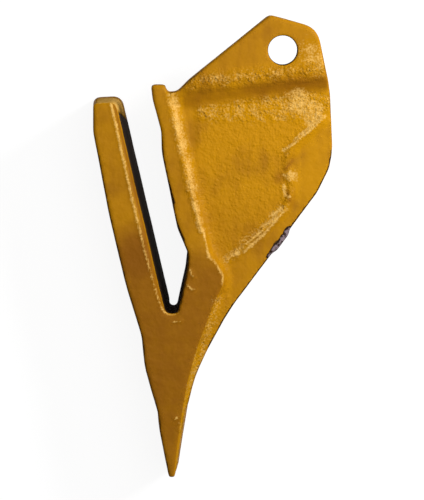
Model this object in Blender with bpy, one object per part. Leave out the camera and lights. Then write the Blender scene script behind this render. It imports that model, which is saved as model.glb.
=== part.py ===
"""Corner tooth for a loader bucket, one steel casting.

The tooth lies on its far side. +Z points out of its near face, +Y runs from the wedge point to the arms,
and +X runs from the fork to the side wing. The sketches below are in millimetres from the bottom of the
slot on the near face. The finished casting is moved so that the middle of its underside is the origin.
"""
import math

import bmesh
import bpy
import numpy as np
from mathutils import Matrix, Vector

MM = 0.001

# Fork: the point, the two arms and the slot for the bucket's cutting edge.
TOOTH_WIDTH = 76.0  # from the far face to the near face
POINT_LENGTH = 113.8  # slot bottom to the edge of the wedge
POINT_ROOT = 45.0  # thickness of the point where the arms start
POINT_EDGE = 4.4  # thickness of the wedge's edge
LOWER_ARM_LENGTH = 150.5
LOWER_ARM_END = 16.4  # thickness of the lower arm at its end
LOWER_ARM_MIDDLE = 23.8
LOWER_ARM_ROOT = 23.6
UPPER_ARM_LENGTH = 162.4
UPPER_ARM_END = 12.5
UPPER_ARM_RAIL = 16.5  # thickness of the upper arm beside the panel
SEAT_LEAN = 13.2  # degrees between the lower arm's seat and +Y
SLOT_GAP = 24.6  # across the slot, along X
THROAT_GAP = 8.2
THROAT_FLOOR = 2.0
RAMP_START = 62.0  # where the upper arm's far side starts to slope up

# Side wing: the panel, the leading edge and the bolt ear.
WING_REACH = 113.8  # slot bottom to the wing's right side
WING_BACK = 46.0  # height of the panel's back above the far face
EAR_DROP = 0.8  # ear below the near face
EAR_BACK = 59.0
EAR_RISE = 49.5  # from the end of the upper arm to the top of the ear
PANEL_DEPTH = 6.0  # panel below the near face
RIDGE_HEIGHT = 2.0  # ridge above the panel
RIDGE_FOOT = 2.6
EDGE_DROP = 15.0  # leading edge below the near face
RAIL_SLOPE = 8.0  # width of the slope from the upper arm to the panel
JOGGLE_RUN = 17.0  # width of the slope from the ear to the panel
JOGGLE_TURN = 5.2  # degrees between the slope's crest and +X
HOLE_DIAMETER = 20.0
HOLE_RISE = 24.2  # from the end of the upper arm to the hole's middle
HOLE_EDGE = 35.4  # from the hole's middle to the wing's right side
STUB_HEIGHT = 1.6  # what is left of the casting's gate on the leading edge

# Foundry shape: rounded rims and drafted walls, as (rim radius, growth of the wall towards the far face).
OUTER_WALL = (1.4, 1.9)
POINT_WALL = (0.8, 0.9)
SEAT_WALL = (3.4, 3.2)
THROAT_WALL = (2.0, 0.3)
UPPER_WALL = (1.4, 1.4)
WING_WALL = (1.4, 0.7)
FAR_RIM = 1.5
RIM_STEPS = 3
ARC_STEP = 14.0  # degrees of arc for each facet
ROW_STEP = 5.5  # between rows of the front's surface
LINE_EASE = 4.0  # how far a bend in the front's lines is eased each way
OVERCUT = 20.0  # how far a cut runs past the casting

CASTING_COLOUR = (0.48, 0.22, 0.012, 1.0)


def seat_x(y):
    """The lower arm's seat for the cutting edge, on the near side."""
    return -0.4 * THROAT_GAP - math.tan(math.radians(SEAT_LEAN)) * (y - THROAT_FLOOR)


def outline(corners):
    """Points, outward normals and wall values along (x, y, radius, style) corners, counter-clockwise.

    A corner's style belongs to the stretch that leaves it. An arc blends the styles on its two sides.
    """
    count = len(corners)
    points = []
    for i, (x, y, radius, style) in enumerate(corners):
        here = Vector((x, y))
        before = Vector(corners[i - 1][:2])
        after = Vector(corners[(i + 1) % count][:2])
        style_before = corners[i - 1][3]
        come = (here - before).normalized()
        leave = (after - here).normalized()
        turn = math.atan2(come.cross(leave), come.dot(leave))
        room = 0.45 * min((here - before).length, (after - here).length)
        reach = min(radius * abs(math.tan(turn / 2)), room)
        steps = max(1, math.ceil(abs(math.degrees(turn)) / ARC_STEP)) if reach > 0.2 else 0
        if not steps:
            share = (style_before[0] + style[0]) / 2, (style_before[1] + style[1]) / 2
            middle = (come + leave).normalized()
            stretch = 1.0 / math.cos(turn / 2)
            points.append((here, Vector((middle.y, -middle.x)) * stretch, share))
            continue
        bend = reach / abs(math.tan(turn / 2))
        side = Vector((-come.y, come.x)) * math.copysign(1.0, turn)
        centre = here - come * reach + side * bend
        for step in range(steps + 1):
            part = step / steps
            spoke = Matrix.Rotation(turn * part, 2) @ (-side)
            share = tuple(a + (b - a) * part for a, b in zip(style_before, style))
            normal = spoke if turn > 0 else -spoke
            points.append((centre + spoke * bend, normal, share))
    return points


def mesh_object(name, rings):
    """A closed solid through rings of equal length, from the top ring down."""
    shape = bmesh.new()
    rows = [[shape.verts.new(point) for point in ring] for ring in rings]
    size = len(rows[0])
    for upper, lower in zip(rows, rows[1:]):
        for i in range(size):
            j = (i + 1) % size
            shape.faces.new((upper[j], upper[i], lower[i], lower[j]))
    shape.faces.new(rows[0])
    shape.faces.new(list(reversed(rows[-1])))
    bmesh.ops.recalc_face_normals(shape, faces=shape.faces)
    shape.normal_update()
    bmesh.ops.triangulate(shape, faces=shape.faces[:], ngon_method="EAR_CLIP")
    data = bpy.data.meshes.new(name)
    shape.to_mesh(data)
    shape.free()
    solid = bpy.data.objects.new(name, data)
    bpy.context.scene.collection.objects.link(solid)
    return solid


def cast_block(name, corners, top, bottom, far_rim):
    """A drafted block with a rounded rim round its near face and a smaller one round its far face."""
    points = outline(corners)
    rings = []
    for step in range(RIM_STEPS + 1):
        angle = math.radians(90.0 * step / RIM_STEPS)
        ring = []
        for place, normal, (rim, draft) in points:
            spot = place - normal * rim * (1 - math.sin(angle))
            ring.append((spot.x, spot.y, top - rim * (1 - math.cos(angle))))
        rings.append(ring)
    for step in range(RIM_STEPS):
        angle = math.radians(90.0 * step / (RIM_STEPS - 1))
        ring = []
        for place, normal, (rim, draft) in points:
            spot = place + normal * (draft - far_rim * (1 - math.cos(angle)))
            ring.append((spot.x, spot.y, bottom + far_rim * (1 - math.sin(angle))))
        rings.append(ring)
    return mesh_object(name, rings)


def prism(name, corners, top, bottom):
    """A straight block; top and bottom are heights, or functions of x and y."""
    def height(level, x, y):
        return level(x, y) if callable(level) else level

    return mesh_object(name, [[(x, y, height(top, x, y)) for x, y in corners],
                              [(x, y, height(bottom, x, y)) for x, y in corners]])


def guide(tool):
    """Hides a shape that only cuts or joins another."""
    tool.hide_render = True
    tool.display_type = "WIRE"
    return tool


def combine(target, operation, tool):
    """Adds the tool to the target or cuts it away."""
    modifier = target.modifiers.new(f"{operation.lower()} {tool.name}", "BOOLEAN")
    modifier.operation = operation
    modifier.solver = "EXACT"
    modifier.object = guide(tool)


def spot(across, along):
    """A place on the sketch, as shares of the wing's reach and of the upper arm's or the point's length."""
    length = UPPER_ARM_LENGTH if along > 0 else POINT_LENGTH
    return across * WING_REACH, along * length


def nose(across, along):
    """A place on the point's outline, as shares of its thickness at the root and of its length."""
    return across * POINT_ROOT, along * POINT_LENGTH


def upper_seat(along, bulge=0.0):
    """A place on the upper arm's side of the slot; a bulge is a share of the slot's gap, towards the rail."""
    y = along * UPPER_ARM_LENGTH
    return seat_x(y) + SLOT_GAP * (1.0 + bulge), y


def rail(along):
    """A place on the upper arm's outer side, under the slope to the panel."""
    x, y = upper_seat(along)
    return x + UPPER_ARM_RAIL, y


def lower_back(along, thickness):
    """A place on the outer side of the lower arm, where it has that thickness."""
    y = along * LOWER_ARM_LENGTH
    return seat_x(y) - thickness, y


def fork():
    """The point, the arms and the slot, over the whole width of the tooth."""
    tip = POINT_EDGE / 3
    corners = [
        (2 * tip, -POINT_LENGTH, 1.6, OUTER_WALL),
        (*nose(0.147, -0.793), 60.0, OUTER_WALL),
        (*nose(0.276, -0.483), 60.0, OUTER_WALL),
        (*nose(0.378, -0.334), 40.0, OUTER_WALL),
        (*nose(0.567, -0.123), 60.0, OUTER_WALL),
        (*spot(0.360, 0.117), 10.0, OUTER_WALL),
        (*spot(0.351, 0.175), 8.0, OUTER_WALL),
        (*rail(0.308), 30.0, OUTER_WALL),
        (*rail(0.554), 60.0, OUTER_WALL),
        (upper_seat(1.0)[0] + UPPER_ARM_END + 4.0, 0.889 * UPPER_ARM_LENGTH, 30.0, OUTER_WALL),
        (upper_seat(1.0)[0] + UPPER_ARM_END, UPPER_ARM_LENGTH, 1.8, OUTER_WALL),
        (*upper_seat(1.0, 0.098), 2.0, UPPER_WALL),
        (*upper_seat(0.936, 0.049), 14.0, UPPER_WALL),
        (*upper_seat(0.794, 0.081), 12.0, UPPER_WALL),
        (*upper_seat(0.702, -0.045), 24.0, UPPER_WALL),
        (*upper_seat(0.493, -0.090), 20.0, UPPER_WALL),
        (*upper_seat(0.382, -0.106), 14.0, UPPER_WALL),
        (*upper_seat(0.265, 0.033), 9.0, UPPER_WALL),
        (*upper_seat(0.191, -0.138), 14.0, UPPER_WALL),
        (0.6 * THROAT_GAP, THROAT_FLOOR, 2.8, THROAT_WALL),
        (seat_x(THROAT_FLOOR), THROAT_FLOOR, 4.4, SEAT_WALL),
        (seat_x(LOWER_ARM_LENGTH), LOWER_ARM_LENGTH, 5.0, OUTER_WALL),
        (*lower_back(0.996, LOWER_ARM_END), 3.2, OUTER_WALL),
        (*lower_back(0.860, 1.29 * LOWER_ARM_END), 12.0, OUTER_WALL),
        (*lower_back(0.458, LOWER_ARM_MIDDLE), 120.0, OUTER_WALL),
        (*lower_back(0.146, LOWER_ARM_ROOT), 120.0, OUTER_WALL),
        (*nose(-0.453, -0.132), 24.0, OUTER_WALL),
        (*nose(-0.409, -0.316), 30.0, OUTER_WALL),
        (*nose(-0.200, -0.606), 20.0, OUTER_WALL),
        (*nose(-0.182, -0.703), 24.0, OUTER_WALL),
        (-tip, -POINT_LENGTH, 1.6, POINT_WALL),
    ]
    block = cast_block("corner_tooth", corners, TOOTH_WIDTH, 0.0, FAR_RIM)
    ramp_end = 0.926 * UPPER_ARM_LENGTH

    def ramp(x, y):
        share = min(1.0, (y - RAMP_START) / (ramp_end - RAMP_START))
        return WING_BACK * share

    for name, low, high in (("ramp", RAMP_START - 2.0, ramp_end),
                            ("ramp end", ramp_end, UPPER_ARM_LENGTH + EAR_RISE)):
        cutter = prism(name, [
            (seat_x(low) + 0.45 * SLOT_GAP, low),
            (WING_REACH, low),
            (WING_REACH, high),
            (seat_x(high) + 0.45 * SLOT_GAP, high),
        ], ramp, -OVERCUT)
        combine(block, "DIFFERENCE", cutter)
    return block


def leading_edge():
    """Places along the leading edge from the point to the joggle, each with its drop below the near face."""
    low = 0.45 * EDGE_DROP
    return [
        (*spot(0.040, -1.060), low),
        (*spot(0.090, -0.770), low),
        (*spot(0.104, -0.560), low),
        (*spot(0.140, -0.412), 0.8 * EDGE_DROP),
        (*spot(0.198, -0.265), EDGE_DROP),
        (*spot(0.272, -0.117), EDGE_DROP),
        (*spot(0.360, 0.022), EDGE_DROP),
        (*spot(0.470, 0.125), EDGE_DROP),
        (*spot(0.582, 0.229), EDGE_DROP),
        (*spot(0.744, 0.384), EDGE_DROP),
        (*spot(0.905, 0.535), EDGE_DROP),
        (*spot(0.977, 0.638), EDGE_DROP),
        (*spot(0.998, 0.714), 0.9 * EDGE_DROP),
        (*spot(0.996, 0.837), 0.6 * EDGE_DROP),
        (*spot(0.990, 0.880), PANEL_DEPTH),
        (*spot(0.980, 0.985), PANEL_DEPTH),
        (*spot(0.975, 1.200), PANEL_DEPTH),
    ]


def crest():
    """Places along the near face's right side, where the slopes to the panel and the leading edge start."""
    return [
        (*spot(0.012, -1.060), 0.0),
        (*spot(0.037, -0.780), 0.0),
        (*spot(0.080, -0.541), 0.0),
        (*spot(0.110, -0.387), 0.0),
        (*spot(0.137, -0.281), 0.0),
        (*spot(0.173, -0.154), 0.0),
        (*spot(0.214, -0.059), 0.0),
        (*spot(0.267, 0.063), 0.0),
        (*spot(0.318, 0.130), 0.0),
        (*spot(0.326, 0.168), 0.0),
        (*spot(0.290, 0.218), 0.0),
        (*spot(0.232, 0.253), 0.0),
        (*spot(0.202, 0.308), 0.0),
        (*spot(0.094, 0.603), 0.0),
        (*spot(-0.078, 1.090), 0.0),
        (*spot(-0.116, 1.200), 0.0),
    ]


def ridge():
    """Places along the panel's far border, each with its height above the panel."""
    high = 0.5 * PANEL_DEPTH
    return [
        (*spot(0.020, -1.060), high),
        (*spot(0.050, -0.780), high),
        (*spot(0.088, -0.541), high),
        (*spot(0.122, -0.387), high),
        (*spot(0.152, -0.281), high),
        (*spot(0.197, -0.154), high),
        (*spot(0.246, -0.059), high),
        (*spot(0.325, 0.063), 0.0),
        (*spot(0.382, 0.130), 0.0),
        (*spot(0.390, 0.180), 0.0),
        (*spot(0.364, 0.232), 0.0),
        (*spot(0.396, 0.272), 0.5 * RIDGE_HEIGHT),
        (*spot(0.450, 0.310), RIDGE_HEIGHT),
        (*spot(0.715, 0.461), RIDGE_HEIGHT),
        (*spot(0.745, 0.560), 0.6 * RIDGE_HEIGHT),
        (*spot(0.705, 0.660), 0.4 * RIDGE_HEIGHT),
        (*spot(0.715, 0.728), RIDGE_HEIGHT),
        (*spot(0.930, 0.846), RIDGE_HEIGHT),
        (*spot(0.985, 0.880), 0.0),
        (*spot(0.972, 0.985), 0.0),
        (*spot(0.968, 1.200), 0.0),
    ]


def wing():
    """The plate on the fork's side, with the ear and the leading edge, before its front is shaped."""
    edge = [(x, y) for x, y, drop in leading_edge()]
    low, high = Vector(edge[8]), Vector(edge[9])
    run = high - low
    out = Vector((run.y, -run.x)).normalized() * STUB_HEIGHT
    stub = [low + run * 0.26, low + run * 0.40 + out, low + run * 0.82 + out, low + run * 0.94]
    hole = hole_middle()
    ear_top = UPPER_ARM_LENGTH + EAR_RISE
    corners = [
        (*edge[2], 0.0, WING_WALL),
        (*edge[3], 60.0, WING_WALL),
        (*edge[4], 90.0, WING_WALL),
        (*edge[6], 90.0, WING_WALL),
        (*edge[8], 60.0, WING_WALL),
        (*stub[0], 0.0, WING_WALL),
        (*stub[1], 2.0, WING_WALL),
        (*stub[2], 2.0, WING_WALL),
        (*stub[3], 0.0, WING_WALL),
        (*edge[9], 20.0, WING_WALL),
        (*edge[10], 20.0, WING_WALL),
        (*edge[11], 16.0, WING_WALL),
        (*edge[12], 30.0, WING_WALL),
        (*edge[15], 60.0, WING_WALL),
        (hole.x + 1.21 * HOLE_DIAMETER, ear_top - 0.49 * HOLE_DIAMETER, 15.0, WING_WALL),
        (hole.x - 0.47 * HOLE_DIAMETER, ear_top - 0.6, 5.0, WING_WALL),
        (*spot(0.112, 1.022), 10.0, WING_WALL),
        (*spot(0.040, 0.972), 5.0, WING_WALL),
        (*spot(-0.075, 0.964), 0.0, WING_WALL),
        (*spot(0.018, 0.739), 0.0, WING_WALL),
        (*spot(0.124, 0.394), 0.0, WING_WALL),
        (*spot(0.178, 0.123), 0.0, WING_WALL),
        (*spot(0.027, -0.510), 0.0, WING_WALL),
    ]
    return cast_block("wing", corners, TOOTH_WIDTH - EAR_DROP, WING_BACK, FAR_RIM)


def joggle_frame(along, down):
    """A place on the sketch, measured along the joggle's crest and down from it towards the point."""
    turn = math.radians(JOGGLE_TURN)
    place = Vector(spot(0.115, 1.0))
    place += Vector((math.cos(turn), math.sin(turn))) * along
    place += Vector((math.sin(turn), -math.cos(turn))) * down
    return place


def joggle_place(x, y):
    """How far down from the joggle's crest and how far along it a place on the sketch is."""
    turn = math.radians(JOGGLE_TURN)
    place = Vector((x, y)) - joggle_frame(0.0, 0.0)
    return (place.x * math.sin(turn) - place.y * math.cos(turn),
            place.x * math.cos(turn) + place.y * math.sin(turn))


def line_at(line, down):
    """How far along the joggle's crest a line runs at that distance down from it, and the line's value there."""
    rows = sorted((*joggle_place(x, y), value) for x, y, value in line)
    near = [down + LINE_EASE * step for step in (-1.0, -0.5, 0.0, 0.5, 1.0)]
    downs, alongs, values = zip(*rows)
    return np.mean(np.interp(near, downs, alongs)), np.mean(np.interp(near, downs, values))


def front():
    """Cuts the joggle, the panel with its slope and ridge, and the bevel down to the leading edge."""
    slope = [(0.0, 0.0), (0.22, 0.1), (0.5, 0.5), (0.78, 0.9), (1.0, 1.0)]
    joggle = [(0.0, 0.0), (0.14, 0.07), (0.5, 0.5), (0.86, 0.93), (1.0, 1.0)]
    last = joggle_place(*spot(0.02, -1.05))[0]
    count = math.ceil((last - JOGGLE_RUN) / ROW_STEP)
    downs = [JOGGLE_RUN * run for run, fall in joggle]
    downs += [JOGGLE_RUN + (last - JOGGLE_RUN) * (i + 1) / count for i in range(count)]
    panel = TOOTH_WIDTH - PANEL_DEPTH
    rings = []
    for down in downs:
        step = TOOTH_WIDTH - PANEL_DEPTH * np.interp(down / JOGGLE_RUN, *zip(*joggle))
        start, unused = line_at(crest(), down)
        top, rise = line_at(ridge(), down)
        end, drop = line_at(leading_edge(), down)
        foot = min(RIDGE_FOOT, 0.35 * (top - start))
        rail_end = min(RAIL_SLOPE, top - start - foot)
        peak = panel + rise
        edge = TOOTH_WIDTH - drop
        section = [(start + rail_end * run, TOOTH_WIDTH - PANEL_DEPTH * fall) for run, fall in slope]
        section += [(top - foot, panel), (top - 0.4 * foot, panel + 0.7 * rise), (top, peak)]
        for share, bulge in ((0.3, 0.08), (0.6, 0.14), (0.85, 0.12)):
            section.append((top + (end - top) * share, peak + (edge - peak) * (share - bulge)))
        section.append((end, edge))
        sunk = np.interp((end - start) / RAIL_SLOPE, (1.2, 2.0), (0.0, 1.0))
        ring = []
        for along, height in section:
            share = (along - start) / (end - start)
            bevel = TOOTH_WIDTH - drop * (share - 0.4 * share * (1.0 - share))
            height = sunk * height + (1.0 - sunk) * bevel
            ring.append((*joggle_frame(along, down), max(height, step)))
        fall = max(-1.6, min(0.0, (ring[-1][2] - ring[-2][2]) / (section[-1][0] - section[-2][0])))
        beyond = joggle_frame(end + OVERCUT, down)
        ring.append((*beyond, max(edge, step) + OVERCUT * fall))
        ring.append((*beyond, TOOTH_WIDTH + OVERCUT))
        ring.append((*joggle_frame(start - 0.1, down), TOOTH_WIDTH + OVERCUT))
        rings.append(ring)
    return mesh_object("front", rings)


def hole_middle():
    """The middle of the ear's bolt hole."""
    return Vector((WING_REACH - HOLE_EDGE, UPPER_ARM_LENGTH + HOLE_RISE))


def ear_back():
    """Cuts the step behind the ear, where the bucket's side plate seats."""
    start = JOGGLE_RUN + 1.0
    far = -2.0 * EAR_RISE
    corners = [joggle_frame(along, down)
               for along, down in ((-0.3 * WING_REACH, start), (1.3 * WING_REACH, start),
                                   (1.3 * WING_REACH, far), (-0.3 * WING_REACH, far))]
    return prism("ear back", corners, EAR_BACK, -OVERCUT)


def bolt_hole():
    """Cuts the one bolt hole through the ear."""
    sides = 48
    middle = hole_middle()
    ring = [(middle.x + HOLE_DIAMETER / 2 * math.cos(2 * math.pi * i / sides),
             middle.y + HOLE_DIAMETER / 2 * math.sin(2 * math.pi * i / sides)) for i in range(sides)]
    return prism("bolt hole", ring, TOOTH_WIDTH + OVERCUT, -OVERCUT)


def enamel():
    """Golden-yellow enamel on cast steel."""
    material = bpy.data.materials.new("casting_enamel")
    material.use_nodes = True
    shader = material.node_tree.nodes["Principled BSDF"]
    shader.inputs["Base Color"].default_value = CASTING_COLOUR
    shader.inputs["Roughness"].default_value = 0.45
    shader.inputs["Metallic"].default_value = 0.0
    return material


def stand_on_origin(casting):
    """Applies the cuts and moves the casting so that the middle of its underside is the origin."""
    bpy.context.view_layer.update()
    finished = casting.evaluated_get(bpy.context.evaluated_depsgraph_get())
    data = bpy.data.meshes.new_from_object(finished)
    casting.modifiers.clear()
    casting.data = data
    low = Vector([min(v.co[axis] for v in data.vertices) for axis in range(3)])
    high = Vector([max(v.co[axis] for v in data.vertices) for axis in range(3)])
    middle = (low + high) / 2
    to_metres = Matrix.Diagonal((MM, MM, MM, 1.0))
    data.transform(to_metres @ Matrix.Translation((-middle.x, -middle.y, -low.z)))
    for tool in [item for item in bpy.data.objects if item != casting]:
        bpy.data.objects.remove(tool, do_unlink=True)


def build():
    for old in list(bpy.data.objects):
        bpy.data.objects.remove(old, do_unlink=True)
    casting = fork()
    combine(casting, "UNION", wing())
    combine(casting, "DIFFERENCE", ear_back())
    combine(casting, "DIFFERENCE", front())
    combine(casting, "DIFFERENCE", bolt_hole())
    stand_on_origin(casting)
    casting.data.materials.clear()
    casting.data.materials.append(enamel())
    casting.data.shade_smooth()
    casting.data.set_sharp_from_angle(angle=math.radians(32.0))


build()
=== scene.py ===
# %% [markdown]
# # A corner bucket tooth in golden enamel
# This tooth is bolted to the lower front corner of a loader's bucket. It is one steel casting: a wedge
# point, two arms that grip the bucket's cutting edge, and a side wing with a bolt ear that lies on the
# bucket's side plate. The CAD model gives its shape. This notebook gives it the skin of a real sand
# casting: soft rims, a grainy sunken panel, a broken gate on the leading edge, and golden enamel with
# painted shade and painted highlights on it.
#
# The first cell loads the CAD model. Everything is in metres, and the tooth lies on its far side with +Z
# up.

# %% Load the casting
import math

import bmesh
import bpy
import numpy as np
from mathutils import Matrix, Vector
from mathutils.bvhtree import BVHTree


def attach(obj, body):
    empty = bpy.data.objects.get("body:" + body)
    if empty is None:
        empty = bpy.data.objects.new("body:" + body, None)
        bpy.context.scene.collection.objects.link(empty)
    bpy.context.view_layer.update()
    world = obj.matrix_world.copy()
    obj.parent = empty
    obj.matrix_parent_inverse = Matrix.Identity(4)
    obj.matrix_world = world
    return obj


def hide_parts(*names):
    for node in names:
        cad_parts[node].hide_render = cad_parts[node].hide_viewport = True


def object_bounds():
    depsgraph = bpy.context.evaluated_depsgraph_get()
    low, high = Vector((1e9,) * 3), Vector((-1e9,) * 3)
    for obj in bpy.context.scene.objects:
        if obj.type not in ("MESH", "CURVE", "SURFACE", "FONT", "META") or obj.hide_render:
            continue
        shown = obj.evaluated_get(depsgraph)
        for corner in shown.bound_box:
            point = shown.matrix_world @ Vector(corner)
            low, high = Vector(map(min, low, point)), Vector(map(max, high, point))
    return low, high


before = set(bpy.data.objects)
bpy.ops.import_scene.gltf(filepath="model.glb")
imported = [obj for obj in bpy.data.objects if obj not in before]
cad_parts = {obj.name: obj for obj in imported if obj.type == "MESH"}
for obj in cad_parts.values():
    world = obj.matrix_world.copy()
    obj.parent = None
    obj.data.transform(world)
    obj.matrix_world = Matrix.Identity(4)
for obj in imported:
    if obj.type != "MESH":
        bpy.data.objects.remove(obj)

MM = 0.001
CASTING = "corner_tooth"
cad_low, cad_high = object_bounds()
near_face = cad_high.z
print("the CAD casting measures", [round(side / MM, 1) for side in cad_high - cad_low], "mm")

# %% [markdown]
# ## An even mesh for the casting
# The CAD mesh has few, long triangles, which is right for a CAD model and no use for a cast skin: there is
# nothing between their corners to move. A voxel remesh wraps the shape in small squares of one size, so
# that each rim gets rounded and each patch can swell or sink a little. The CAD mesh is loose triangles, so
# a copy of it is merged first. A subdivision surface would not do: it would round the long triangles
# unevenly.

# %% Wrap the casting in an even mesh
VOXEL = 1.25 * MM
MERGE_GAP = 0.002 * MM


def plain_mesh(thing, name):
    """The mesh of an object with its modifiers applied, as a new plain mesh."""
    bpy.context.view_layer.update()
    finished = thing.evaluated_get(bpy.context.evaluated_depsgraph_get())
    mesh = bpy.data.meshes.new_from_object(finished)
    mesh.name = name
    return mesh


def merged_copy(node, name):
    """A copy of a CAD node's mesh whose corners are joined."""
    shape = bmesh.new()
    shape.from_mesh(node.data)
    bmesh.ops.remove_doubles(shape, verts=shape.verts, dist=MERGE_GAP)
    mesh = bpy.data.meshes.new(name)
    shape.to_mesh(mesh)
    shape.free()
    copy = bpy.data.objects.new(name, mesh)
    bpy.context.scene.collection.objects.link(copy)
    return copy


casting = merged_copy(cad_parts[CASTING], "casting")
solid = BVHTree.FromObject(casting, bpy.context.evaluated_depsgraph_get())
wrap = casting.modifiers.new("wrap", "REMESH")
wrap.mode = "VOXEL"
wrap.voxel_size = VOXEL
even = plain_mesh(casting, "casting")
casting.modifiers.clear()
casting.data = even
print("the wrapped casting has", len(even.polygons), "squares")

# %% [markdown]
# ## Ease the rims
# A wooden or metal pattern leaves no sharp rim in sand, and enamel rounds what is left. A few rounds of
# smoothing do that here. Each point goes part of the way to the middle of its neighbours. The same helper
# is used below to soften masks, so it takes any values that belong to the points.

# %% Ease the rims
EASE_ROUNDS = 3
EASE_SHARE = 0.5


def neighbour_pairs(mesh):
    """The two ends of every edge, as two columns."""
    ends = np.empty(len(mesh.edges) * 2, np.int32)
    mesh.edges.foreach_get("vertices", ends)
    return ends.reshape(-1, 2)


def places_of(mesh):
    """The points of a mesh, one row each."""
    flat = np.empty(len(mesh.vertices) * 3, np.float32)
    mesh.vertices.foreach_get("co", flat)
    return flat.reshape(-1, 3).astype(float)


def normals_of(mesh):
    """The direction that each point of a mesh faces."""
    flat = np.empty(len(mesh.vertices) * 3, np.float32)
    mesh.vertex_normals.foreach_get("vector", flat)
    return flat.reshape(-1, 3).astype(float)


def spread(values, pairs, rounds, share=EASE_SHARE):
    """Moves each point's values part of the way to the mean of its neighbours, several times."""
    one, other = pairs[:, 0], pairs[:, 1]
    size = len(values)
    neighbours = np.bincount(pairs.ravel(), minlength=size)
    table = values.reshape(size, -1).copy()
    for _ in range(rounds):
        for column in table.T:
            total = np.bincount(one, column[other], size) + np.bincount(other, column[one], size)
            column += (total / neighbours - column) * share
    return table.reshape(values.shape)


pairs = neighbour_pairs(even)
even.vertices.foreach_set("co", spread(places_of(even), pairs, EASE_ROUNDS).astype(np.float32).ravel())
even.update()
places = places_of(even)
normals = normals_of(even)
print("the rims are eased over", EASE_ROUNDS, "rounds")

# %% [markdown]
# ## Where the slot lies in shade
# The slot is at most 25 mm wide and 76 mm deep, and its walls are painted nearly black as shade. To
# find such places, nearly level rays go out from every point to all sides. The share of them that hits
# the casting again says how sheltered the point is. An ambient occlusion node in the material could do
# this as well, but a value on each point also goes with the model to other programs.

# %% Measure the shelter of each point
RAYS = 48  # all round, of which the nearly level ones are used
LEVEL = 0.45
RAY_LENGTH = 60 * MM
RAY_START = 1.2 * MM  # clear of the rims, where the eased skin lies below the CAD surface
GOLDEN_ANGLE = math.pi * (3.0 - math.sqrt(5.0))
LEAST_FACING = 0.15  # a ray that leaves flatter than this says little
LEAST_SENT = 0.1  # keeps a point that sends hardly any rays from counting as sheltered
FACE_DEPTH = 1.0 * MM  # points this near the top
FACE_UP = 0.97  # that face straight up are never sheltered, so they send no rays
SHELTER_ROUNDS = 3


def rise(values, low, high):
    """0 up to the low value, 1 from the high one on, and a soft step between them."""
    share = np.clip((values - low) / (high - low), 0.0, 1.0)
    return share * share * (3.0 - 2.0 * share)


def all_round(count):
    """Directions spread evenly over a ball, along a spiral."""
    heights = 1.0 - (2.0 * np.arange(count) + 1.0) / count
    turns = GOLDEN_ANGLE * np.arange(count)
    reach = np.sqrt(1.0 - heights ** 2)
    ways = np.stack([reach * np.cos(turns), reach * np.sin(turns), heights], axis=1)
    return ways[np.abs(heights) < LEVEL]


def shelter_of(places, normals, busy):
    """The share of the room in front of each point that the casting itself takes up."""
    hit = np.zeros(len(places))
    sent = np.zeros(len(places))
    starts = places + normals * RAY_START
    for way in all_round(RAYS):
        facing = normals @ way
        ray = Vector(way)
        chosen = np.flatnonzero((facing > LEAST_FACING) & busy)
        sent[chosen] += facing[chosen]
        for i in chosen:
            if solid.ray_cast(Vector(starts[i]), ray, RAY_LENGTH)[0] is not None:
                hit[i] += facing[i]
    return hit / np.maximum(sent, LEAST_SENT)


open_ground = (places[:, 2] > near_face - FACE_DEPTH) & (normals[:, 2] > FACE_UP)
shelter = spread(shelter_of(places, normals, ~open_ground), pairs, SHELTER_ROUNDS)
print("sheltered points:", int((shelter > 0.5).sum()), "of", len(shelter))

# %% [markdown]
# ## Marks on the skin
# The mould and the years left their marks. The sand crumbled along the joggle's crest and along the
# ridges. Painted shade darkens the slot, some rims and some faces, and painted highlights and sheen
# lighten others. Each kind of mark gets a mask, one number for each point. The masks are built from paths
# on the casting, seen from above in millimetres, because that is how one would point the marks out on
# the real thing. These are the paths.

# %% Paths on the casting
CREST_PATH = [(-15, 116), (20, 119.5), (78, 125)]
SLOPE_PATH = [(-28.0, 108), (-25.2, 95), (-22.3, 82), (-17.2, 60), (-13.8, 42)]
SLOPE_TAIL = [(-17.2, 60), (-13.0, 37.5), (-10.0, 24), (-6.6, 13)]
ROOT_PATH = [(-5.6, 12), (-2.2, -6), (3.8, -12), (8.0, -20), (7.2, -26)]
LOW_RIDGE = [(10.6, -7.6), (31, 9), (50.0, 27.4)]
BORDER = [(50.0, 27.4), (54.6, 40), (53.4, 52), (50.6, 62), (57.5, 73)]
HIGH_RIDGE = [(57.5, 73), (76.4, 89)]
ARM_RIM = [(-70.6, 101), (-67.4, 88), (-64.8, 75), (-56.6, 38), (-48.2, 3), (-41.6, -22), (-37.6, -36),
           (-34.4, -43.4), (-31.9, -45.6), (-28.0, -46.6), (-24.1, -45.4)]
NOSE_SLOPE = [(5.0, -36), (1.5, -49), (-2.7, -61), (-6.9, -73), (-10.4, -85), (-13.9, -99), (-20.2, -127)]
PALE_STREAKS = [
    [(10.9, -8.1), (18.6, -2.8)],
    [(22.5, 2.2), (26.4, 4.7), (35.1, 11.6)],
    [(23.0, -2.8), (25.2, -0.6), (36.3, 8.9), (44.0, 18.2), (50.6, 26.0)],
    [(35.8, 15.5), (41.3, 18.3)],
    [(42.4, 23.2), (45.7, 26.0)],
    [(49.9, 68.4), (58.0, 73.5)],
    [(58.0, 76.4), (72.0, 87.5), (79.4, 91.9)],
    [(60.0, 75.4), (73.0, 85.8)],
    [(50.6, 51.4), (54.4, 47.0)],
    [(50.6, 43.3), (51.0, 36.5), (54.4, 35.9)],
    [(42.5, 22.6), (49.9, 28.5)],
]
NICKS = [
    [(-15.6, -15.0), (-12.9, -20.5)],
    [(-17.3, -26.0), (-14.0, -29.3), (-12.6, -29.0)],
    [(-22.0, -51.5), (-27.0, -52.0)],
    [(-61.0, 62.0), (-60.0, 58.0)],
    [(-26.0, -120.4), (-24.2, -119.2)],
]
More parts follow.
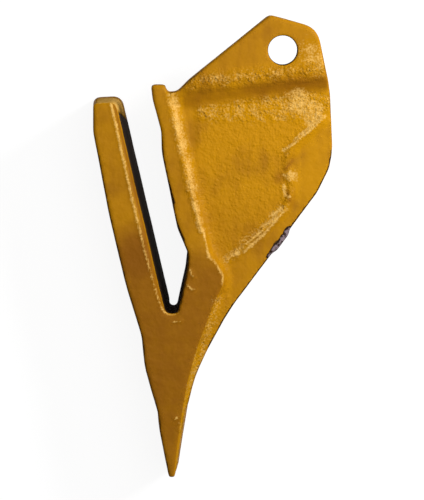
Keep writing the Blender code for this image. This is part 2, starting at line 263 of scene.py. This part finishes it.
# Two stretches of rim beside the slot, painted black as shadow.
SHADOW_RIMS = [
    [(-32.4, 50.0), (-29.3, 39.7), (-26.6, 31.5)],
    [(-25.0, 17.0), (-22.5, 11.0), (-19.8, 5.2)],
]
DIPS = [
    [(51.4, 55.0), (56.5, 61.0)],
    [(52.6, 40.0), (54.6, 33.0)],
    [(28.0, 2.0), (40.0, 13.0)],
]
GATE_STUB = [(42.4, -6.0), (54.9, 11.2)]
STUB_SIDE = (0.81, -0.59, 0.0)
LEADING_EDGE = [(83.5, 66.0), (74.8, 43.3), (65.6, 28.5), (54.7, 14.1), (43.5, -2.7), (30.9, -19.5),
                (17.6, -36.3), (6.4, -53.1), (-1.0, -68.0)]
BAND = [(-12, 104), (9, 107), (62, 114.5), (78, 116)]
SHEEN = [(60, 103), (77, 88)]
HOLE_X, HOLE_Y, HOLE_RADIUS = 49.5, 138.4, 10.0
print(len(PALE_STREAKS), "thin lines of crumbs,", len(NICKS), "nicks and", len(DIPS), "dips")

# %% [markdown]
# ### How near is a point to a path?
# A mask is highest on its path and falls away to both sides. The helpers measure that for all points at
# once, and the last one stores a finished mask on the mesh, where the material and the skin's tree can
# read it.

# %% Helpers for masks
def near_path(path, width):
    """1 on a path seen from above, falling evenly to 0 at that distance in millimetres."""
    nearest = np.full(len(places), np.inf)
    for start, end in zip(path, path[1:]):
        begin = np.array(start) * MM
        run = np.array(end) * MM - begin
        share = np.clip((places[:, :2] - begin) @ run / (run @ run), 0.0, 1.0)
        gap = np.linalg.norm(places[:, :2] - begin - share[:, None] * run, axis=1)
        nearest = np.minimum(nearest, gap)
    return np.clip(1.0 - nearest / (width * MM), 0.0, 1.0)


def any_path(paths, width):
    """1 on any of the paths."""
    return np.maximum.reduce([near_path(path, width) for path in paths])


def near_spot(x, y, radius):
    """1 at a spot seen from above, falling softly to 0 at that radius in millimetres."""
    gap = np.hypot(places[:, 0] / MM - x, places[:, 1] / MM - y)
    return rise(gap, radius, 0.0)


def keep(name, values):
    """Stores a mask on the points of the mesh."""
    layer = even.attributes.new(name, "FLOAT", "POINT")
    layer.data.foreach_set("value", values.astype(np.float32))
    print(name, "covers", round(100.0 * float((values > 0.3).mean()), 1), "% of the points")


x_mm, y_mm, z_mm = (places / MM).T
print("the masks look at", len(places), "points")

# %% [markdown]
# ### Parts of the casting
# Most marks belong to one part: the near side, its flat face, the sunken panel, the flank between the
# panel and the leading edge, the lower arm or its end. Which part a point is on follows from its place and
# from the way it faces. Three lines in the casting slant, and a slanted measure makes each of them a plain
# limit.

# %% Which part each point is on
BAND_SLANT = 0.149  # how much the joggle's band climbs for each millimetre to the right
SLOT_SLANT = 0.235  # how much the slot leans to the left for each millimetre up
TIP_SLANT = 0.13  # the slot's dirt starts farther up the arm near the rim than near the floor

up = normals[:, 2]
toward_x = normals[:, 0]
stub_side = normals @ np.array(STUB_SIDE)
above_band = y_mm - BAND_SLANT * x_mm
seam = x_mm + SLOT_SLANT * y_mm
tip_line = y_mm - TIP_SLANT * z_mm

front = rise(up, 0.15, 0.5) * rise(z_mm, 48.0, 56.0)
level = rise(np.abs(up), 0.5, 0.2)
on_face = rise(z_mm, near_face / MM - 1.6, near_face / MM - 0.5)
panel = front * (1.0 - on_face) * rise(x_mm, -14.0, -8.0) * rise(y_mm, 112.0, 106.0)
border = LOW_RIDGE + BORDER[1:] + HIGH_RIDGE[1:]
border_x = np.interp(y_mm, [y for x, y in border], [x for x, y in border])
flank = rise(x_mm - border_x, 0.0, 4.0) * rise(y_mm, 98.0, 92.0)
below_band = rise(above_band, 103.5, 98.5)
upper_panel = panel * below_band * rise(y_mm, 80.0, 94.0) * (1.0 - flank)
arm = rise(seam, -32.0, -38.0) * rise(y_mm, -56.0, -46.0)
arm_tip = arm * rise(tip_line, 82.0, 90.0) * rise(toward_x, -0.8, -0.3)
print("points on the sunken panel:", int((panel > 0.5).sum()))

# %% [markdown]
# ### Grain, pale skin and painted highlights
# The grain is strongest on the crest and on the slope of the upper arm, and weaker on the panel and the
# ridges. Pale colour lies on the same places, on the thin lines of crumbs, on the lower arm's rim and end,
# and in a broad painted sheen at the right of the panel and of the ear. At the nicks it is thin, worn
# enamel, and elsewhere it is mostly painted highlight. A mask takes the highest of its terms.

# %% Masks of the grain and of the pale skin
ridges = any_path((LOW_RIDGE, BORDER, HIGH_RIDGE), 6.0)
streaks = any_path(PALE_STREAKS, 2.2)
slope = np.maximum(near_path(SLOPE_PATH, 6.0), near_path(SLOPE_TAIL, 4.2))
grit = np.maximum.reduce([
    near_path(CREST_PATH, 9.0),
    0.9 * slope,
    0.5 * ridges,
    0.62 * upper_panel,
    0.32 * below_band * panel * (1.0 - flank),
    0.7 * near_path(NOSE_SLOPE, 5.0),
]) * front
# Mostly painted highlight and painted sheen: the crest, the slope, the ridges and their lines of crumbs,
# the root's line, the lower arm's rim, the nose and the patches at the panel and the ear; the nicks are
# worn enamel.
pale_and_highlight = np.maximum.reduce([
    0.50 * near_path(CREST_PATH, 8.0) ** 0.5,
    0.50 * upper_panel,
    0.85 * near_spot(56.4, 50.4, 9.0),
    0.82 * slope ** 0.6,
    0.85 * near_path(ROOT_PATH, 2.2) ** 0.8,
    0.92 * streaks ** 0.7,
    0.30 * ridges,
    0.68 * near_path(LOW_RIDGE, 6.0) ** 0.6,
    0.74 * rise(near_path(SHEEN, 17.0), 0.0, 0.8) * (1.0 - flank),
    0.68 * near_spot(72, 135, 25),
    near_path(ARM_RIM, 1.7) ** 0.5 * (0.70 + 0.30 * rise(y_mm, -20.0, 40.0)),
    0.54 * near_path(NOSE_SLOPE, 6.0) ** 0.5,
    0.95 * any_path(NICKS, 1.5),
]) * front
# Painted highlight: the end of the lower arm is painted pale, as if lit.
painted_lit_end = 0.86 * level * arm_tip * rise(z_mm, -12.0, 30.0)
keep("grit", grit)
keep("pale_and_highlight", np.maximum(pale_and_highlight, painted_lit_end))

# %% [markdown]
# ### Brown film and painted shade
# Brown is painted shade on the root and the lower arm, along the joggle's band, on the lower arm's inner
# rim and in a few dips and a spot beside the ridges. The ear and the foot of the panel are a little
# browner, and the walls get browner towards the far side.

# %% Mask of the brown film
# Mostly painted shade: the darker root and lower arm, the joggle's band, the lower arm's inner rim, and the
# dips and the spot beside the ridges.
brown_and_shade = np.maximum.reduce([
    on_face * rise(y_mm, 26.0, -22.0) * (0.66 - 0.10 * rise(y_mm, -90.0, -140.0)),
    on_face * near_spot(-50, -6, 44) * 0.95,
    on_face * 0.28,
    near_path(BAND, 8.5) ** 0.5 * (0.40 + 0.26 * rise(x_mm, 10.0, 60.0)),
    0.30 * rise(above_band, 116.0, 126.0),
    0.50 * near_spot(47.5, 49.0, 9.0),
    0.22 * panel * rise(y_mm, 50.0, 20.0),
    0.65 * rise(seam, -38.0, -44.0) * rise(toward_x, 0.2, 0.5) * arm,
    0.6 * any_path(DIPS, 3.0),
]) * front
brown_walls = 0.55 * level * rise(z_mm, 58.0, 6.0)
keep("brown_and_shade", np.maximum(brown_and_shade, brown_walls))

# %% [markdown]
# ### Bare steel and painted shade
# The gate, through which the steel ran in, was broken off the leading edge after casting, and its stub is
# bare. Painted shade blackens the slot, two stretches of rim beside it, the rims of the left side and of
# the leading edge, and the inside of the bolt hole. The same dark mask is a little higher on every wall,
# and higher at the floor.

# %% Masks of the bare stub and of the dirt
bare = rise(near_path(GATE_STUB, 6.5), 0.10, 0.75) * rise(stub_side, -0.3, -0.05) * rise(z_mm, 50.0, 66.0)
left_side = rise(toward_x, -0.3, -0.65) * rise(y_mm, 96.0, 66.0) * rise(z_mm, 66.0, 74.0)
arm_wall = level * rise(toward_x, 0.1, 0.4) * arm * rise(tip_line, 91.0, 82.0)
in_slot = rise(shelter, 0.25, 0.55) * rise(z_mm, 75.0, 69.0) * rise(y_mm, 114.0, 106.0) * (1.0 - arm_tip)
shadow_rims = spread(rise(any_path(SHADOW_RIMS, 2.6), 0.2, 0.9), pairs, 2)
edge_rim = rise(stub_side, 0.15, 0.5) * rise(up, 0.05, 0.3) * rise(near_path(LEADING_EDGE, 4.0), 0.0, 0.4)
from_hole = np.hypot(x_mm - HOLE_X, y_mm - HOLE_Y)
in_hole = level * rise(from_hole, HOLE_RADIUS + 2.0, HOLE_RADIUS + 1.0)
# Painted shade: black in the slot, on the two rims beside it, on the left side's rim, on the lower arm's
# inner wall, on the leading edge's rim and inside the bolt hole; a little on every wall, and more at the
# floor.
grime_and_shade = np.maximum.reduce([
    in_slot,
    0.85 * shadow_rims * front,
    arm_wall * rise(z_mm, 74.0, 67.0),
    0.50 * left_side,
    0.62 * edge_rim,
    0.80 * in_hole,
    0.36 * level * (1.0 - 0.8 * arm_tip),
    0.6 * rise(z_mm, 2.0, 0.6),
])
keep("grime_and_shade", grime_and_shade)
keep("bare", bare)

# %% [markdown]
# ### Beads
# Thin beads run along the rim of the lower arm and along the root's border, where sand fell out of the
# mould's corners, and a few short ones lie beside them. The last mask is the near side without its beads
# and its lines of crumbs. The skin sinks there.

# %% Masks of the beads and of what lies round them
bead = np.maximum.reduce([near_path(ARM_RIM, 1.8), near_path(ROOT_PATH, 2.2), any_path(NICKS, 1.8)]) * front
keep("bead", bead)
keep("sunk", front * (1.0 - np.maximum(bead, streaks)))

# %% [markdown]
# ## Golden enamel
# The tooth has one coat of golden-yellow enamel over the rough casting. The material lays its colours
# over one another: the gold itself, brown that is mostly painted shade, pale colour that is mostly painted
# highlight and sheen, black that is painted shade in the slot and on the walls, and black scale and bare
# steel at the gate. Each layer is one mix of colours, led by a mask and broken up by noise on the
# casting's own coordinates, so that the pattern keeps its place from all sides. An image would do too,
# but it would have to be painted, and would blur when one comes close.

# %% Helpers for the material's nodes
enamel = bpy.data.materials.new("golden enamel")
enamel.use_nodes = True
coat = enamel.node_tree
shader = coat.nodes["Principled BSDF"]
whereabouts = coat.nodes.new("ShaderNodeTexCoord").outputs["Object"]
MIX_AMOUNT, MIX_BELOW, MIX_ABOVE, MIX_RESULT = 0, 6, 7, 2  # where a mix node keeps its colour sockets


def plug(value, socket):
    """Puts a number or another node's output into a socket."""
    if isinstance(value, bpy.types.NodeSocket):
        coat.links.new(value, socket)
    else:
        socket.default_value = value


def noise(size, detail=2.0, stretch=(1.0, 1.0, 1.0), shift=0.0):
    """Cloudy noise whose blots are about that many millimetres across."""
    place = coat.nodes.new("ShaderNodeMapping")
    place.inputs["Scale"].default_value = stretch
    place.inputs["Location"].default_value = (shift, shift, shift)
    coat.links.new(whereabouts, place.inputs["Vector"])
    cloud = coat.nodes.new("ShaderNodeTexNoise")
    cloud.inputs["Scale"].default_value = 1.0 / (size * MM)
    cloud.inputs["Detail"].default_value = detail
    coat.links.new(place.outputs["Vector"], cloud.inputs["Vector"])
    return cloud.outputs["Fac"]


def crumb_gap(size):
    """The distance to the nearest of many crumbs, as a share of size, their spacing in millimetres."""
    crumbs = coat.nodes.new("ShaderNodeTexVoronoi")
    crumbs.inputs["Scale"].default_value = 1.0 / (size * MM)
    coat.links.new(whereabouts, crumbs.inputs["Vector"])
    return crumbs.outputs["Distance"]


def mask(name):
    """A mask of the casting's points."""
    layer = coat.nodes.new("ShaderNodeAttribute")
    layer.attribute_name = name
    return layer.outputs["Fac"]


def sum_of(*terms):
    """The sum of products, each a value and a weight."""
    total = 0.0
    for value, weight in terms:
        step = coat.nodes.new("ShaderNodeMath")
        step.operation = "MULTIPLY_ADD"
        plug(value, step.inputs[0])
        plug(weight, step.inputs[1])
        plug(total, step.inputs[2])
        total = step.outputs[0]
    return total


def fade(value, low, high):
    """A soft step from 0 at the low value to 1 at the high one."""
    step = coat.nodes.new("ShaderNodeMapRange")
    step.interpolation_type = "SMOOTHSTEP"
    plug(value, step.inputs["Value"])
    plug(low, step.inputs["From Min"])
    plug(high, step.inputs["From Max"])
    return step.outputs["Result"]


def over(colour, layer, amount):
    """A layer of another colour over what is there."""
    mix = coat.nodes.new("ShaderNodeMix")
    mix.data_type = "RGBA"
    plug(amount, mix.inputs[MIX_AMOUNT])
    plug(colour, mix.inputs[MIX_BELOW])
    plug(layer, mix.inputs[MIX_ABOVE])
    return mix.outputs[MIX_RESULT]


print("the material has its helpers")

# %% [markdown]
# ### The coat's colours
# The blots of the gold are a few centimetres wide and weak. The runs are stretched along the tooth, as
# enamel runs down a casting that hangs by its ear. The pale colour, worn enamel and painted highlights
# alike, is speckled with grains of about a millimetre. The stub of the gate is black scale with steel
# showing through it, and both end in a ragged edge.

# %% Colours of the coat
GOLD = (0.52, 0.232, 0.002, 1.0)
DEEP_GOLD = (0.36, 0.150, 0.004, 1.0)
# Mostly painted shade, partly a browner tone.
BROWN_AND_SHADE = (0.25, 0.088, 0.004, 1.0)
# Mostly painted highlight and painted sheen, partly worn enamel.
PALE_GOLD_AND_HIGHLIGHT = (0.76, 0.45, 0.11, 1.0)
# Painted shade in the slot and on the walls, and real scale at the gate.
SCALE_AND_SHADE_BLACK = (0.018, 0.008, 0.003, 1.0)
STEEL = (0.23, 0.17, 0.19, 1.0)

blots = noise(26.0, 3.0)
runs = noise(9.0, 2.0, stretch=(1.6, 0.18, 0.5), shift=0.3)
speckle = noise(1.3, 2.0, shift=0.7)
patches = noise(6.0, 3.0, shift=1.1)

deep = fade(sum_of((blots, 0.7), (runs, 0.3)), 0.44, 0.74)
browned_and_shaded = fade(sum_of((mask("brown_and_shade"), 1.0), (patches, 0.25)), 0.05, 1.05)
dry_and_highlit = fade(sum_of((mask("pale_and_highlight"), 1.0), (speckle, 1.1), (patches, 0.9)), 1.35, 2.05)
dirty_and_shaded = fade(sum_of((mask("grime_and_shade"), 1.0), (patches, 0.4)), 0.45, 0.85)
colour = over(GOLD, DEEP_GOLD, deep)
colour = over(colour, BROWN_AND_SHADE, browned_and_shaded)
colour = over(colour, PALE_GOLD_AND_HIGHLIGHT, dry_and_highlit)
colour = over(colour, SCALE_AND_SHADE_BLACK, dirty_and_shaded)

ragged = noise(5.0, 3.0, shift=9.0)
chip_noise = noise(2.4, 3.0, shift=2.0)
metal_noise = noise(1.7, 3.0, shift=3.0)
chips = fade(sum_of((mask("bare"), 1.0), (chip_noise, 0.8), (ragged, 1.2)), 1.38, 1.52)
metal = fade(sum_of((mask("bare"), 1.0), (metal_noise, 1.5), (ragged, 0.5)), 1.80, 2.02)
colour = over(colour, SCALE_AND_SHADE_BLACK, chips)
colour = over(colour, STEEL, metal)
plug(colour, shader.inputs["Base Color"])
print("the coat has", len(coat.nodes), "nodes so far")

# %% [markdown]
# ### Gloss and grain
# The coat is rougher where the dark mask of painted shade is high, and has no gloss where the pale mask
# of painted highlight is high. The coat is a little wavy, and the sand's grain shows through where the
# mask says so, with a crumb of sand burnt on here and there. The cast skin below moves the points for the
# coarser grain. Bump deepens that, and adds the grain that is finer than the mesh.

# %% Gloss and grain of the coat
SPECULAR_LEVEL = 0.05
BUMP_DEPTH = 0.9 * MM

shine = sum_of((fade(mask("pale_and_highlight"), 0.5, 0.2), SPECULAR_LEVEL))
plug(shine, shader.inputs["Specular IOR Level"])

gloss = sum_of((patches, 0.22), (mask("brown_and_shade"), 0.10), (mask("grime_and_shade"), 0.70), (mask("pale_and_highlight"), -0.06),
               (1.0, 0.28))
plug(gloss, shader.inputs["Roughness"])

crumbs = fade(crumb_gap(3.0), 0.42, 0.05)
grain = sum_of((noise(1.8, 2.0, shift=4.0), 1.2), (noise(4.2, 2.0, shift=5.0), 2.2), (crumbs, 0.45))
waves = noise(8.0, 2.0, shift=6.0)
height = sum_of((grain, mask("grit")), (grain, 0.07), (waves, 0.7), (mask("bead"), 0.2))
bump = coat.nodes.new("ShaderNodeBump")
bump.inputs["Strength"].default_value = 1.0
bump.inputs["Distance"].default_value = BUMP_DEPTH
plug(height, bump.inputs["Height"])
plug(bump.outputs["Normal"], shader.inputs["Normal"])
print("the coat has", len(coat.nodes), "nodes")

# %% [markdown]
# ## The cast skin
# Sand moulds swell and sink a little, so no face of a casting is quite flat. Geometry Nodes move every
# point along its normal by a slow noise, and by a finer one where the grit mask is high. They also sink
# the near side round its thin beads and lines of crumbs, which then stand proud. The tree has named
# inputs, so that the same skin can be put on another casting with other sizes. The skin only goes inwards,
# so that the tooth keeps its size. A displace modifier could do this too, but not with two noises and two
# masks at once.

# %% Inputs of the skin's tree
SKIN_SIZES = {
    "Swell size": 22.0,
    "Swell depth": 0.5,
    "Grain size": 3.4,
    "Grain depth": 0.4,
    "Bead height": 0.35,
    "Seed": 7.0,
}

skin = bpy.data.node_groups.new("cast skin", "GeometryNodeTree")
skin.interface.new_socket("Geometry", in_out="INPUT", socket_type="NodeSocketGeometry")
skin_inputs = {}
for name in SKIN_SIZES:
    socket = skin.interface.new_socket(name, in_out="INPUT", socket_type="NodeSocketFloat")
    skin_inputs[name] = socket.identifier
coat_input = skin.interface.new_socket("Coat", in_out="INPUT", socket_type="NodeSocketMaterial").identifier
skin.interface.new_socket("Geometry", in_out="OUTPUT", socket_type="NodeSocketGeometry")
start = skin.nodes.new("NodeGroupInput")
finish = skin.nodes.new("NodeGroupOutput")
print("the skin takes", len(SKIN_SIZES), "numbers and a material")

# %% Helpers for the skin's nodes
def skin_math(operation, one, other):
    """One step of arithmetic in the skin's tree."""
    step = skin.nodes.new("ShaderNodeMath")
    step.operation = operation
    for value, socket in ((one, step.inputs[0]), (other, step.inputs[1])):
        if isinstance(value, bpy.types.NodeSocket):
            skin.links.new(value, socket)
        else:
            socket.default_value = value
    return step.outputs[0]


def skin_noise(size_name, depth_name):
    """A noise between -depth and 0 whose size and depth are inputs, in millimetres."""
    cloud = skin.nodes.new("ShaderNodeTexNoise")
    cloud.noise_dimensions = "4D"
    cloud.inputs["Detail"].default_value = 2.0
    skin.links.new(start.outputs["Seed"], cloud.inputs["W"])
    skin.links.new(skin_math("DIVIDE", 1.0 / MM, start.outputs[size_name]), cloud.inputs["Scale"])
    sunk = skin_math("SUBTRACT", cloud.outputs["Fac"], 1.0)
    return skin_math("MULTIPLY", sunk, skin_math("MULTIPLY", start.outputs[depth_name], MM))


def skin_mask(name):
    """A mask of the casting's points, read in the skin's tree."""
    read = skin.nodes.new("GeometryNodeInputNamedAttribute")
    read.data_type = "FLOAT"
    read.inputs["Name"].default_value = name
    return read.outputs["Attribute"]


print("the skin's tree has its helpers")

# %% Join the skin's nodes
grain = skin_math("MULTIPLY", skin_noise("Grain size", "Grain depth"), skin_mask("grit"))
swell = skin_noise("Swell size", "Swell depth")
bead_height = skin_math("MULTIPLY", start.outputs["Bead height"], MM)
round_beads = skin_math("MULTIPLY", skin_mask("sunk"), bead_height)
offset = skin_math("SUBTRACT", skin_math("ADD", swell, grain), round_beads)
along = skin.nodes.new("ShaderNodeVectorMath")
along.operation = "SCALE"
skin.links.new(skin.nodes.new("GeometryNodeInputNormal").outputs["Normal"], along.inputs[0])
skin.links.new(offset, along.inputs["Scale"])
move = skin.nodes.new("GeometryNodeSetPosition")
skin.links.new(start.outputs["Geometry"], move.inputs["Geometry"])
skin.links.new(along.outputs["Vector"], move.inputs["Offset"])
real = skin.nodes.new("GeometryNodeRealizeInstances")
skin.links.new(move.outputs["Geometry"], real.inputs["Geometry"])
paint = skin.nodes.new("GeometryNodeSetMaterial")
skin.links.new(real.outputs["Geometry"], paint.inputs["Geometry"])
skin.links.new(start.outputs["Coat"], paint.inputs["Material"])
skin.links.new(paint.outputs["Geometry"], finish.inputs["Geometry"])
print("the skin's tree has", len(skin.nodes), "nodes")

# %% Put the skin on the casting
casting.data.materials.clear()
casting.data.materials.append(enamel)
skinning = casting.modifiers.new("cast skin", "NODES")
skinning.node_group = skin
for name, value in SKIN_SIZES.items():
    skinning[skin_inputs[name]] = value
skinning[coat_input] = enamel
skinned = plain_mesh(casting, "casting")
casting.modifiers.clear()
casting.data = skinned
skinned.polygons.foreach_set("use_smooth", [True] * len(skinned.polygons))
moved = np.linalg.norm(places_of(skinned) - places, axis=1) / MM
print("the skin moved the points by up to", round(float(moved.max()), 2), "mm")

# %% [markdown]
# ## Floor, light and camera
# The tooth lies on a white floor. One broad lamp hangs overhead, and a smaller, nearer one at the upper
# right brightens the slopes that face it and leaves the walls dark. The floor and the world look white to
# the camera and in reflections, and send less light than that onto the casting, so its colours stay deep.

# %% The white floor
FLOOR_BOUNCE = (0.35, 0.35, 0.35, 1.0)
FLOOR_SEEN = (0.20, 0.20, 0.20, 1.0)
FLOOR_GLOW = 0.90
FLOOR_REACH = 2.0  # metres to each side


def seen_directly(tree):
    """1 for rays from the camera, and for those that a glossy or clear surface sends on."""
    rays = tree.nodes.new("ShaderNodeLightPath")
    total = rays.outputs["Is Camera Ray"]
    for name in ("Is Glossy Ray", "Is Transmission Ray"):
        step = tree.nodes.new("ShaderNodeMath")
        step.operation = "MAXIMUM"
        tree.links.new(total, step.inputs[0])
        tree.links.new(rays.outputs[name], step.inputs[1])
        total = step.outputs[0]
    return total


floor_mesh = bpy.data.meshes.new("floor")
corners = [(x * FLOOR_REACH, y * FLOOR_REACH, 0) for x, y in ((-1, -1), (1, -1), (1, 1), (-1, 1))]
floor_mesh.from_pydata(corners, [], [(0, 1, 2, 3)])
floor = bpy.data.objects.new("floor", floor_mesh)
bpy.context.scene.collection.objects.link(floor)

paper = bpy.data.materials.new("white paper")
paper.use_nodes = True
sheet = paper.node_tree
sheet.nodes.clear()
bounce = sheet.nodes.new("ShaderNodeBsdfDiffuse")
bounce.inputs["Color"].default_value = FLOOR_BOUNCE
shade = sheet.nodes.new("ShaderNodeBsdfDiffuse")
shade.inputs["Color"].default_value = FLOOR_SEEN
glow = sheet.nodes.new("ShaderNodeEmission")
glow.inputs["Strength"].default_value = FLOOR_GLOW
both = sheet.nodes.new("ShaderNodeAddShader")
sheet.links.new(shade.outputs[0], both.inputs[0])
sheet.links.new(glow.outputs[0], both.inputs[1])
choice = sheet.nodes.new("ShaderNodeMixShader")
sheet.links.new(seen_directly(sheet), choice.inputs[0])
sheet.links.new(bounce.outputs[0], choice.inputs[1])
sheet.links.new(both.outputs[0], choice.inputs[2])
sheet.links.new(choice.outputs[0], sheet.nodes.new("ShaderNodeOutputMaterial").inputs["Surface"])
floor_mesh.materials.append(paper)
print("the floor is", 2.0 * FLOOR_REACH, "m wide")

# %% The white world
WORLD_LIGHT = 0.12

world = bpy.data.worlds.new("studio")
bpy.context.scene.world = world
world.use_nodes = True
sky = world.node_tree
dim = sky.nodes["Background"]
dim.inputs["Color"].default_value = (1.0, 1.0, 1.0, 1.0)
dim.inputs["Strength"].default_value = WORLD_LIGHT
white = sky.nodes.new("ShaderNodeBackground")
white.inputs["Color"].default_value = (1.0, 1.0, 1.0, 1.0)
sky_choice = sky.nodes.new("ShaderNodeMixShader")
sky.links.new(seen_directly(sky), sky_choice.inputs[0])
sky.links.new(dim.outputs[0], sky_choice.inputs[1])
sky.links.new(white.outputs[0], sky_choice.inputs[2])
sky.links.new(sky_choice.outputs[0], sky.nodes["World Output"].inputs["Surface"])
print("the world sends", WORLD_LIGHT, "of the light that it shows")

# %% Two soft lamps
OVERHEAD_PLACE, OVERHEAD_AIM = (0.15, 0.25, 1.3), (0.0, 0.0, 0.05)
WINDOW_PLACE, WINDOW_AIM = (0.62, 0.40, 0.60), (0.03, 0.03, 0.05)
OVERHEAD_SIZE, OVERHEAD_POWER = 0.9, 6.0
WINDOW_SIZE, WINDOW_POWER = 0.3, 8.0


def soft_lamp(name, place, target, size, power):
    """A square lamp at a place that looks at a target."""
    light = bpy.data.lights.new(name, "AREA")
    light.size = size
    light.energy = power
    lamp = bpy.data.objects.new(name, light)
    lamp.location = place
    lamp.rotation_euler = (Vector(target) - Vector(place)).to_track_quat("-Z", "Y").to_euler()
    bpy.context.scene.collection.objects.link(lamp)


soft_lamp("overhead", OVERHEAD_PLACE, OVERHEAD_AIM, OVERHEAD_SIZE, OVERHEAD_POWER)
soft_lamp("window", WINDOW_PLACE, WINDOW_AIM, WINDOW_SIZE, WINDOW_POWER)
print("two lamps are on")

# %% [markdown]
# ## The camera
# The camera looks nearly straight down on the tooth. It stands a little towards the arms, so that the end
# wall of the lower arm just shows. A long lens keeps the two faces of the casting nearly the same size.

# %% Camera
PICTURE_HEIGHT = 500  # in pixels
PIXEL = 0.70 * MM  # on the near face
LENS = 300.0
SENSOR = 36.0
TILT = math.radians(4.0)
FAR_CLIP = 20.0

middle = Vector((0.1 * MM, -1.3 * MM, near_face))
look = Vector((0.0, -math.sin(TILT), -math.cos(TILT)))
distance = PICTURE_HEIGHT * PIXEL * LENS / SENSOR
lens = bpy.data.cameras.new("camera")
lens.lens = LENS
lens.sensor_width = SENSOR
lens.sensor_fit = "AUTO"
lens.clip_end = FAR_CLIP
camera = bpy.data.objects.new("camera", lens)
camera.location = middle - look * distance
camera.rotation_euler = (-TILT, 0.0, 0.0)
bpy.context.scene.collection.objects.link(camera)
bpy.context.scene.camera = camera
bpy.context.scene.view_settings.view_transform = "Standard"
print("the camera stands", round(distance, 2), "m away")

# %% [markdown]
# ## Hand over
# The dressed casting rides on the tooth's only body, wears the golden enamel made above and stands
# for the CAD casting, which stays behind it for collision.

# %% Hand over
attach(casting, "root")
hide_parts(CASTING)
